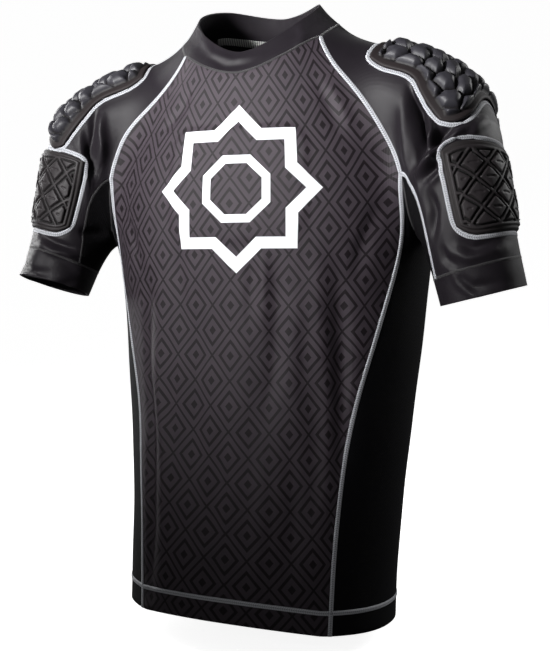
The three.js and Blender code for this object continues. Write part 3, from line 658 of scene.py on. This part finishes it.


# The eleven cut panels. Each is taken out of the creased skin, smoothed once more and given its
# thickness inwards.
for index, name in enumerate(panel_names):
    cut = skin.copy()
    layer = cut.faces.layers.int["panel"]
    bmesh.ops.delete(cut, geom=[f for f in cut.faces if f[layer] != index], context="FACES")
    lay_map(cut, name)
    slot, material = finish_of.get(kind_of(name), plain)
    piece = put_in_scene(name + "_panel", cut, material)
    smooth = piece.modifiers.new("smooth", "SUBSURF")
    smooth.levels = smooth.render_levels = 1
    smooth.boundary_smooth = "PRESERVE_CORNERS"
    wall = piece.modifiers.new("wall", "SOLIDIFY")
    wall.thickness = thickness_of(name)
    wall.offset = -1
    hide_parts(name)


# Flatlock seams of white thread join the panels edge to edge, and a cover stitch of the same thread
# holds the hem and the pads. Cuffs and collar are sewn in dark thread. The seams round the right
# gusset and between the left gusset and side are drawn dark too, as painted shade of the armpits.
# Each seam is a low oval band, with its width and rise in millimetres.
skin_tree = BVHTree.FromBMesh(skin)
seam_sizes = {"white": (4.9, 0.75), "dark": (2.6, 0.35)}


def chains(edges):
    """Edges that hang together as lists of vertices, and whether each list closes on itself."""
    left = set(edges)
    found = []
    while left:
        count = {}
        for edge in left:
            for vert in edge.verts:
                count[vert] = count.get(vert, 0) + 1
        ends = sorted((v for v in count if count[v] != 2), key=lambda v: v.index)
        here = ends[0] if ends else min(count, key=lambda v: v.index)
        first, line = here, [here]
        while True:
            ways = sorted((e for e in here.link_edges if e in left), key=lambda e: e.index)
            if not ways:
                break
            left.discard(ways[0])
            here = ways[0].other_vert(here)
            line.append(here)
        closed = here is first and len(line) > 3
        found.append(([v.co.copy() for v in (line[:-1] if closed else line)], closed))
    return found


def evenly(line, closed, step):
    """The same line with its points spread evenly and its small kinks worn off."""
    places = np.array(line + line[:1] if closed else line)
    run = np.concatenate([[0], np.cumsum(np.linalg.norm(np.diff(places, axis=0), axis=1))])
    count = max(int(run[-1] / step), 3) + 1
    at = np.linspace(0, run[-1], count)
    spread = np.stack([np.interp(at, run, places[:, axis]) for axis in range(3)], axis=1)
    for _ in range(2):
        before, after = np.roll(spread, 1, axis=0), np.roll(spread, -1, axis=0)
        if closed:
            before[0], after[-1] = spread[-2], spread[1]
        else:
            before[0], after[-1] = spread[0], spread[-1]
        spread = (before + 2 * spread + after) / 4
    return spread, run[-1]


def add_band(mesh, line, closed, width, rise, inside=False):
    """One seam: a band that follows the cloth, with its run and its breadth on its map. An open
    one reaches a little past its ends, and an inside one lies on the cloth's back."""
    step, overlap, sides, sunk, cloth_depth = 0.003, 0.0015, 8, 0.5, 0.0018
    if not closed:
        first, last = (line[0] - line[1]).normalized(), (line[-1] - line[-2]).normalized()
        line = [line[0] + first * overlap, *line, line[-1] + last * overlap]
    spread, length = evenly(line, closed, step)
    centres, outs = [], []
    for place in spread:
        near, normal, _, _ = skin_tree.find_nearest(Vector(place))
        centres.append(near)
        outs.append(normal)
    outs = np.array(outs)
    for _ in range(3):
        outs[1:-1] = (outs[:-2] + 2 * outs[1:-1] + outs[2:]) / 4
    if closed:
        outs[0] = outs[-1] = outs[0] + outs[-1]
    count = len(centres) - 1
    layer = mesh.loops.layers.uv.verify()
    grid = bmesh.ops.create_grid(mesh, x_segments=count, y_segments=sides, size=1)["verts"]
    share = {v: ((v.co.x + 1) / 2, (v.co.y + 1) / 2) for v in grid}
    faces = {f for v in grid for f in v.link_faces}
    for face in faces:
        for loop in face.loops:
            along, round_it = share[loop.vert]
            loop[layer].uv = (along * length, math.cos(2 * math.pi * round_it))
    for vert in grid:
        along, round_it = share[vert]
        index = round(along * count)
        ahead = centres[min(index + 1, count)] - centres[max(index - 1, 0)]
        if closed and index in (0, count):
            ahead = centres[1] - centres[count - 1]
        out = Vector(outs[index]).normalized()
        across = ahead.cross(out).normalized()
        turn = 2 * math.pi * round_it
        broad, high = math.cos(turn), math.sin(turn)
        broad = math.copysign(abs(broad) ** 0.7, broad) * width / 2000
        high *= (rise if high > 0 else sunk) / 1000
        if inside:
            high -= cloth_depth + rise / 1000
        vert.co = centres[index] + across * broad + out * high
    bmesh.ops.remove_doubles(mesh, verts=grid, dist=0.00001)


def close_and_turn(mesh):
    """Closes the ends of open bands and turns all faces outwards."""
    open_edges = [e for e in mesh.edges if e.is_boundary]
    bmesh.ops.holes_fill(mesh, edges=open_edges, sides=0)
    bmesh.ops.recalc_face_normals(mesh, faces=mesh.faces)


def seam_drawn_dark(pair):
    """Whether a seam is dark: dark thread at cuffs and collar, painted shade under the arms."""
    if "gusset_right" in pair or pair == ("gusset_left", "side_left"):
        return True
    return any(kind_of(name) in ("cuff", "collar") for name in pair)


seam_lines = {"white": [], "dark": []}
by_pair = {}
skin.edges.index_update()
skin.verts.index_update()
for edge in skin.edges:
    if len(edge.link_faces) == 2:
        pair = tuple(sorted(panel_names[f[panel_layer]] for f in edge.link_faces))
        if pair[0] != pair[1]:
            by_pair.setdefault(pair, []).append(edge)
for pair, edges in sorted(by_pair.items()):
    seam_lines["dark" if seam_drawn_dark(pair) else "white"] += chains(edges)

hem_height, below_body = 0.024, -0.55
hem = [e for e in skin.edges if e.is_boundary and e.verts[0].co.z < below_body]
for line, closed in chains(hem):
    seam_lines["white"].append(([place + Vector((0, 0, hem_height)) for place in line], closed))


def pad_edge(name, beyond):
    """A line round a pad, a little beyond its edge, on the cloth."""
    rim = [e for e in pad_backs[name].edges if e.is_boundary]
    smooth, _ = evenly(chains(rim)[0][0], True, 0.004)
    middle_line = []
    for index, place in enumerate(smooth[:-1]):
        ahead = smooth[index + 1] - smooth[index - 1 if index else -2]
        place = Vector(place)
        out = (place - middle_of(name, place)).normalized()
        across = Vector(ahead).cross(out).normalized()
        middle_line.append((place, across))
    centre = sum((place for place, _ in middle_line), Vector()) / len(middle_line)
    turned = sum(across.dot(place - centre) for place, across in middle_line) < 0
    sign = -1 if turned else 1
    return [place + across * sign * beyond for place, across in middle_line]


beyond_pad = 0.0032
for name in pad_names:
    seam_lines["white"].append((pad_edge(name, beyond_pad), True))


def thread_finish(name, light, deep):
    """Two rows of slanting stitches with a ladder of thread between them."""
    finish = Finish(name, Sheen_Weight=0.2, Sheen_Roughness=0.5)
    run, breadth = finish.map_axes()
    off, stitch = abs(breadth), 0.0024
    slant = (run / stitch + off * 0.7).repeated() * 2
    ladder = off.band(0.0, 0.16, 0.08)
    rows = 1 - off.band(0.52, 0.06, 0.04)
    gap = (1 - slant).rising(0.5, 0.85) * (0.6 + ladder * 0.4)
    hollow = gap.larger(ladder * 0.45)
    cloudy = finish.noise(420, 2)
    bright = finish.blend(cloudy, scaled(light, 0.86), light)
    finish.surface(
        Base_Color=finish.blend(hollow, bright, deep),
        Roughness=0.62 + hollow * 0.2,
        Normal=finish.bump((1 - hollow) * 0.8 + rows * 0.2, 0.0004, 0.8),
    )
    return finish.material


# The white finish is thread. The dark one is dark thread at the cuffs and collar, and painted shade on the
# underarm seams.
threads = {
    "white": thread_finish("white_thread", tone(188, 190, 196), tone(26, 26, 30)),
    "dark": thread_finish("dark_thread_and_shade", tone(30, 27, 30), tone(8, 8, 9)),
}
for shade, lines in seam_lines.items():
    seams = bmesh.new()
    seams.loops.layers.uv.new("cloth")
    for line, closed in lines:
        add_band(seams, line, closed, *seam_sizes[shade])
    close_and_turn(seams)
    put_in_scene(f"{shade}_seams", seams, threads[shade])


# A ribbed white tape covers the neck seam on the inside, across the back. It is a band like the
# seams, 9 mm wide, laid on the back of the cloth.
tape_width, tape_rise, tape_rib = 9.0, 0.5, 0.0022
neck_line, _ = max(chains(by_pair["back", "collar"]), key=lambda chain: len(chain[0]))
tape = bmesh.new()
tape.loops.layers.uv.new("cloth")
add_band(tape, neck_line, False, tape_width, tape_rise, inside=True)
close_and_turn(tape)
tape_finish = Finish("neck_tape", Roughness=0.7)
run, _ = tape_finish.map_axes()
rib = (run / tape_rib).repeated() * 2
# The grooves between the ribs are drawn grey: painted shade.
tape_finish.surface(
    Base_Color=tape_finish.blend(rib.rising(0.35, 0.7), tone(214, 214, 210), tone(90, 92, 96)),
    Normal=tape_finish.bump(1 - rib, 0.0006, 0.8),
)
put_in_scene("neck_tape", tape, tape_finish.material)


# Foam pads under the same cloth: rounded blocks in staggered rows on the shoulder, flat plates
# between crossing ribs on the upper arm. Both are moulded, so their shape is set, not simulated.


def lay_pad_map(mesh):
    """Numbers the grid of a pad's back: across from -1, behind, to 1, in front, and down from 0
    to 1. The table that it gives back holds the grid's points, row by row."""
    start = min(
        (v for v in mesh.verts if len(v.link_faces) == 1),
        key=lambda v: v.co.y * 4 - v.co.z,
    )
    face = start.link_faces[0]
    loop = next(c for c in face.loops if c.vert == start)
    grid = {start: (0, 0), loop.link_loop_next.vert: (1, 0)}
    todo, done = [face], set()
    while todo:
        face = todo.pop()
        if face in done:
            continue
        done.add(face)
        loop = next(c for c in face.loops if c.vert in grid and c.link_loop_next.vert in grid)
        (x, y), (far_x, far_y) = grid[loop.vert], grid[loop.link_loop_next.vert]
        step_x, step_y = -(far_y - y), far_x - x
        grid[loop.link_loop_prev.vert] = (x + step_x, y + step_y)
        grid[loop.link_loop_next.link_loop_next.vert] = (far_x + step_x, far_y + step_y)
        todo += [f for e in face.edges for f in e.link_faces if f not in done]
    across = max(x for x, _ in grid.values())
    down = max(y for _, y in grid.values())
    first_axis = next(v for v in grid if grid[v] == (across, 0)).co - start.co
    second_axis = next(v for v in grid if grid[v] == (0, down)).co - start.co
    if abs(first_axis.y) < abs(second_axis.y):
        grid = {v: (y, x) for v, (x, y) in grid.items()}
        across, down = down, across
    layer = mesh.loops.layers.uv.new("pad")
    for face in mesh.faces:
        for loop in face.loops:
            x, y = grid[loop.vert]
            loop[layer].uv = (1 - 2 * x / across, y / down)
    table = np.zeros((down + 1, across + 1, 3))
    for vert, (x, y) in grid.items():
        table[y, x] = vert.co
    return table


def pad_places(mesh, table):
    """Millimetres across from the middle and down from the neck end, for each vertex of a pad."""
    widths = np.linalg.norm(np.diff(table, axis=1), axis=2).sum(axis=1) * 1000
    lengths = np.linalg.norm(np.diff(table, axis=0), axis=2).sum(axis=0)[::-1] * 1000
    layer = mesh.loops.layers.uv["pad"]
    share = np.zeros((len(mesh.verts), 2))
    for vert in mesh.verts:
        share[vert.index] = vert.link_loops[0][layer].uv
    width = np.interp(share[:, 1], np.linspace(0, 1, len(widths)), widths)
    length = np.interp(share[:, 0], np.linspace(-1, 1, len(lengths)), lengths)
    across, down = share[:, 0] * width / 2, share[:, 1] * length
    edge = np.minimum.reduce([width / 2 - np.abs(across), down, length - down])
    return np.stack([across, down], axis=1), edge


def block_heights(places, edge, seed):
    """Rounded blocks, in millimetres: staggered rows of uneven cells round scattered seeds, each
    rising from its valleys like a hipped roof. Also how far each point is from its cell's wall."""
    pitch, row_pitch, first_row, border, valley, shoulder = 25, 21, 8, 8.5, 0.9, 7.2
    draw = random.Random(seed)
    seeds = []
    for row in range(-1, 9):
        for column in range(-6, 7):
            x = (column + (0.5 if row % 2 else 0)) * pitch + draw.uniform(-3.4, 3.4)
            seeds.append((x, first_row + row * row_pitch + draw.uniform(-2.8, 2.8)))
    seeds = np.array(seeds)
    gaps = np.linalg.norm(places[:, None] - seeds[None], axis=2)
    order = np.argsort(gaps, axis=1)
    nearest = gaps[np.arange(len(places)), order[:, 0]]
    wall = np.full(len(places), 1e9)
    for rank in range(1, 6):
        other = gaps[np.arange(len(places)), order[:, rank]]
        apart = np.linalg.norm(seeds[order[:, 0]] - seeds[order[:, rank]], axis=1)
        wall = np.minimum(wall, (other**2 - nearest**2) / (2 * apart))
    wall = np.minimum(wall, (edge - border) * 1.1) - valley
    share = np.clip(wall / shoulder, 0, 1)
    crown = np.sqrt(np.clip(1 - (1 - share) ** 2.3, 0, 1))
    return np.where(wall > 0, 2.6 * share + crown * 5.8, 0), wall


def plate_heights(places, edge):
    """Four-sided plates with a crease across, between crossing ribs and one that runs round the
    pad, in millimetres. Also how far each point is from its plate's wall."""
    pitch, border_rib, plate_gap, rib_rise, plate_rise, crease_depth = 25.5, 6.6, 3.4, 1.9, 2.9, 0.9

    def from_line(value):
        return np.abs(value - np.round(value)) * pitch

    first = (places[:, 0] * 0.78 + places[:, 1] * 0.86) / pitch + 0.15
    second = (places[:, 0] * 0.86 - places[:, 1] * 0.78) / pitch + 0.4
    off = np.minimum(from_line(first), from_line(second))
    near_border = np.minimum(np.abs(edge - border_rib), np.where(edge > border_rib, off, 99))
    off = np.where(edge < 8.5, near_border, off)
    rib = 1 - soft_step(off, 1.3, 1.9)
    wall = np.minimum(off - plate_gap, edge - border_rib - 3)
    plate = soft_step(wall, 0, 1.1)
    middle = np.abs((first - np.floor(first)) - (second - np.floor(second))) * 10
    crease = 1 - soft_step(middle, 0.0, 1.3)
    inset = soft_step(wall, 4.5, 5.5) * crease * crease_depth
    within = soft_step(edge, 4.4, 5.6)
    dome = np.clip(wall, 0, 9) * 0.05
    height = np.maximum(rib * rib_rise * within, plate * plate_rise + dome - inset)
    return height, np.where(plate > rib, wall, np.where(rib > 0.5, 1.0, -1.0))


def pad_finish(name, block, base, groove_shade, gloss, shine):
    """Moulded foam under thin cloth: smooth blocks with lighter tops, partly their own tone and
    partly painted highlight, and near-black valleys of painted shade.
    """
    finish = Finish(name, Specular_IOR_Level=0.3, Coat_Roughness=0.3)
    raised = finish.add("Attribute", {"attribute_name": "raised"}, output="Fac")
    valley = finish.add("Attribute", {"attribute_name": "valley"}, output="Fac")
    cloudy = finish.noise(55, 4)
    fine = finish.noise(700, 2)
    cloth = finish.blend(cloudy, base, scaled(base, 1.25))
    top = finish.blend(cloudy, block, scaled(block, 1.3))
    finish.surface(
        Base_Color=finish.blend(valley, finish.blend(raised, cloth, top), groove_shade),
        Roughness=0.62 - raised * gloss + cloudy * 0.12,
        Coat_Weight=raised * shine,
        Normal=finish.bump(fine + cloudy * 2, 0.00025, 0.45),
    )
    return finish.material


# Each finish: block tone, the cloth round the blocks, the near-black painted shade of the valleys, then how
# much glossier and shinier the tops are.
pad_finishes = {
    "shoulder": pad_finish("moulded_blocks", tone(41, 40, 45), tone(24, 18, 19), tone(5, 4, 5), 0.15, 0.05),
    "bicep": pad_finish("moulded_plates", tone(31, 27, 29), tone(25, 21, 22), tone(3, 3, 3), 0.08, 0.03),
}
pad_levels = {"shoulder": 3, "bicep": 4}
pad_bases = {"shoulder": 1.6, "bicep": 1.9}
block_seeds = {"left": 11, "right": 29}
for name in pad_names:
    kind = kind_of(name)
    back = pad_backs[name]
    table = lay_pad_map(back)
    pad = finer(back, pad_levels[kind])
    pad.verts.index_update()
    places, edge = pad_places(pad, table)
    if kind == "shoulder":
        raised_by, wall = block_heights(places, edge, block_seeds[side_of(name)])
    else:
        raised_by, wall = plate_heights(places, edge)
    pad.normal_update()
    outs = [v.normal.copy() for v in pad.verts]
    raised_layer = pad.verts.layers.float.new("raised")
    valley_layer = pad.verts.layers.float.new("valley")
    heights = pad_bases[kind] * soft_step(edge, -0.5, 2.0) + raised_by
    # The tops' mask brings in the lighter block tone, partly painted highlight, and the valleys' mask the
    # near-black painted shade.
    raised = soft_step(raised_by, 0.4, 2.4)
    valley = (1 - soft_step(wall, -0.6, 0.8)) * soft_step(edge, 7.0, 9.5)
    bottom = bmesh.ops.duplicate(pad, geom=pad.faces[:])["geom"]
    bottom = [f for f in bottom if isinstance(f, bmesh.types.BMFace)]
    pad.verts.ensure_lookup_table()
    for index, out in enumerate(outs):
        vert = pad.verts[index]
        vert[raised_layer], vert[valley_layer] = float(raised[index]), float(valley[index])
        vert.co += out * (heights[index] / 1000)
    bmesh.ops.reverse_faces(pad, faces=bottom)
    rims = [e for e in pad.edges if e.is_boundary]
    bmesh.ops.bridge_loops(pad, edges=rims)
    piece = put_in_scene(name + "_moulding", pad, pad_finishes[kind])
    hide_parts(name)


# The studio: a pale floor that runs up into a white background, and large soft lights. The
# background shows white but gives the shirt only a little of its light.
world = bpy.data.worlds.new("studio")
world.use_nodes = True
bpy.context.scene.world = world
sky = world.node_tree
seen, given = sky.nodes["Background"], sky.nodes.new("ShaderNodeBackground")
seen.inputs["Color"].default_value = given.inputs["Color"].default_value = (1, 1, 1, 1)
seen.inputs["Strength"].default_value, given.inputs["Strength"].default_value = 1.0, 0.09
path, either = sky.nodes.new("ShaderNodeLightPath"), sky.nodes.new("ShaderNodeMixShader")
sky.links.new(path.outputs["Is Camera Ray"], either.inputs["Fac"])
sky.links.new(given.outputs["Background"], either.inputs[1])
sky.links.new(seen.outputs["Background"], either.inputs[2])
sky.links.new(either.outputs["Shader"], sky.nodes["World Output"].inputs["Surface"])

floor_height = cad_box[0][2] - 0.02
reach, bend_start, bend_radius, wall_height, bend_steps = 14, 3, 1.5, 9, 8
sweep = bmesh.new()
edge_points = [(-reach, -reach, floor_height), (-reach, bend_start, floor_height)]
for step in range(1, bend_steps + 1):
    angle = math.radians(90 * step / bend_steps)
    back, up = bend_radius * math.sin(angle), bend_radius * (1 - math.cos(angle))
    edge_points.append((-reach, bend_start + back, floor_height + up))
edge_points.append((-reach, bend_start + bend_radius, floor_height + wall_height))
line = [sweep.verts.new(p) for p in edge_points]
edges = [sweep.edges.new(pair) for pair in zip(line, line[1:])]
made = bmesh.ops.extrude_edge_only(sweep, edges=edges)["geom"]
far_line = [v for v in made if isinstance(v, bmesh.types.BMVert)]
bmesh.ops.translate(sweep, vec=(2 * reach, 0, 0), verts=far_line)
floor_mesh = bpy.data.meshes.new("floor")
sweep.to_mesh(floor_mesh)
floor_mesh.polygons.foreach_set("use_smooth", [True] * len(floor_mesh.polygons))
floor = bpy.data.objects.new("floor", floor_mesh)
bpy.context.scene.collection.objects.link(floor)
floor.visible_diffuse = floor.visible_glossy = False
floor_finish = Finish("floor", Roughness=0.9, Specular_IOR_Level=0.2, Emission_Strength=0.9)
floor_finish.surface(
    Base_Color=floor_finish.blend(floor_finish.noise(3), (0.93,) * 3 + (1,), (0.95,) * 3 + (1,)),
    Emission_Color=(1, 1, 1, 1),
)
floor_mesh.materials.append(floor_finish.material)


def soft_light(name, place, target, width, height, power, spread=180):
    """An area light that looks from a place at a target."""
    data = bpy.data.lights.new(name, "AREA")
    data.shape = "RECTANGLE"
    data.size, data.size_y, data.energy = width, height, power
    data.spread = math.radians(spread)
    light = bpy.data.objects.new(name, data)
    bpy.context.scene.collection.objects.link(light)
    light.location = place
    light.rotation_euler = (Vector(target) - Vector(place)).to_track_quat("-Z", "Y").to_euler()


soft_light("key", (-0.68, -1.40, 0.22), (0.0, -0.05, 0.05), 0.28, 0.28, 4.4, 42)
soft_light("rim", (1.5, 1.5, 0.8), (0.15, 0, -0.2), 0.4, 1.0, 21)
soft_light("edge", (-1.9, 0.7, 0.3), (-0.15, 0, -0.3), 0.4, 1.2, 26)
soft_light("fill", (0.9, -2.4, 0.7), (0, 0, -0.1), 0.6, 0.6, 0.8)
